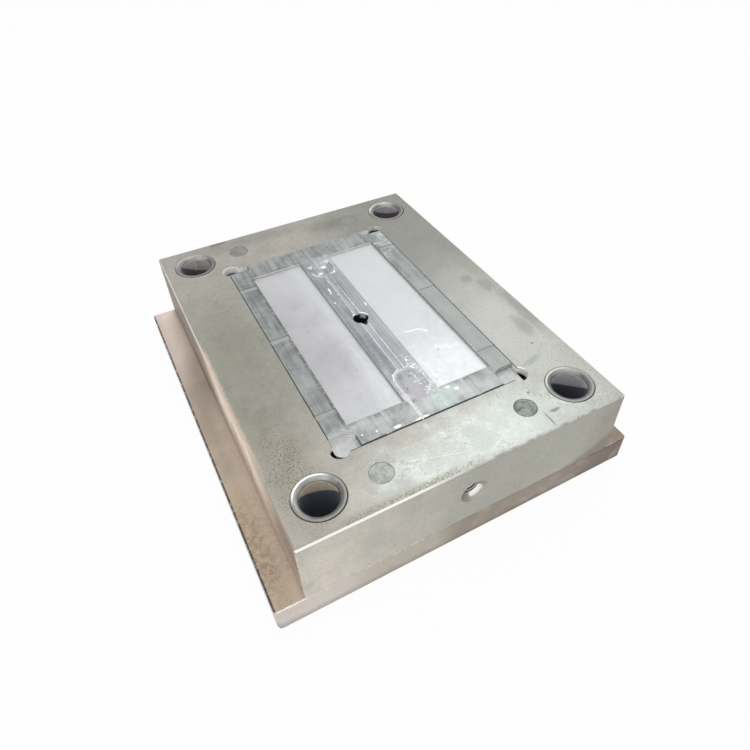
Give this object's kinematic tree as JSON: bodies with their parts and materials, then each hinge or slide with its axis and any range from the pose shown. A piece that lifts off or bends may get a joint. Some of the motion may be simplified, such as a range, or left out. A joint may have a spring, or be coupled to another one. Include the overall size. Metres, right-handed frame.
{
  "type": "injection mould fixed half",
  "caption": "Fixed half of a two-plate injection mould: clamp plate, cavity plate with guide bushes, and a pocketed insert with shallow flat impressions.",
  "frame": {"origin": "on the sprue's centre line at the outer face of the locating ring, which is the centre of the bottom of the bounding box", "axes": "+Z from the locating ring up to the parting face, +Y along the plates' length, +X across the two clamping ledges"},
  "size_m": [0.35, 0.4, 0.108],
  "materials": {
    "clamp_plate_steel": "ground carbon steel, dulled and lightly rust-stained",
    "cavity_plate_steel": "ground steel with old oil stains",
    "insert_steel": "ground shut-off face with satin polished impressions",
    "bush_steel": "ground hardened steel, oiled",
    "pad_steel": "hardened steel, worn by the return pins",
    "hardened_steel": "turned and ground hardened steel",
    "turned_steel": "turned steel",
    "black_steel": "black oxide alloy steel",
    "brass": "turned brass",
    "seal_rubber": "nitrile rubber"
  },
  "bodies": {
    "root": {"clamp_plate": "clamp_plate_steel", "cavity_plate": "cavity_plate_steel", "cavity_insert": "insert_steel", "guide_bush_back_left": "bush_steel", "guide_bush_back_right": "bush_steel", "guide_bush_front_left": "bush_steel", "guide_bush_front_right": "bush_steel", "return_pad_back_left": "pad_steel", "return_pad_back_right": "pad_steel", "return_pad_front_left": "pad_steel", "return_pad_front_right": "pad_steel", "sprue_bush": "hardened_steel", "locating_ring": "turned_steel", "ring_screws": "black_steel", "clamp_plate_screws": "black_steel", "insert_screws": "black_steel", "plate_dowels": "hardened_steel", "channel_plugs": "brass", "channel_seals": "seal_rubber", "water_nipple_1": "brass", "water_nipple_2": "brass", "water_nipple_3": "brass", "water_nipple_4": "brass"}
  },
  "joints": []
}
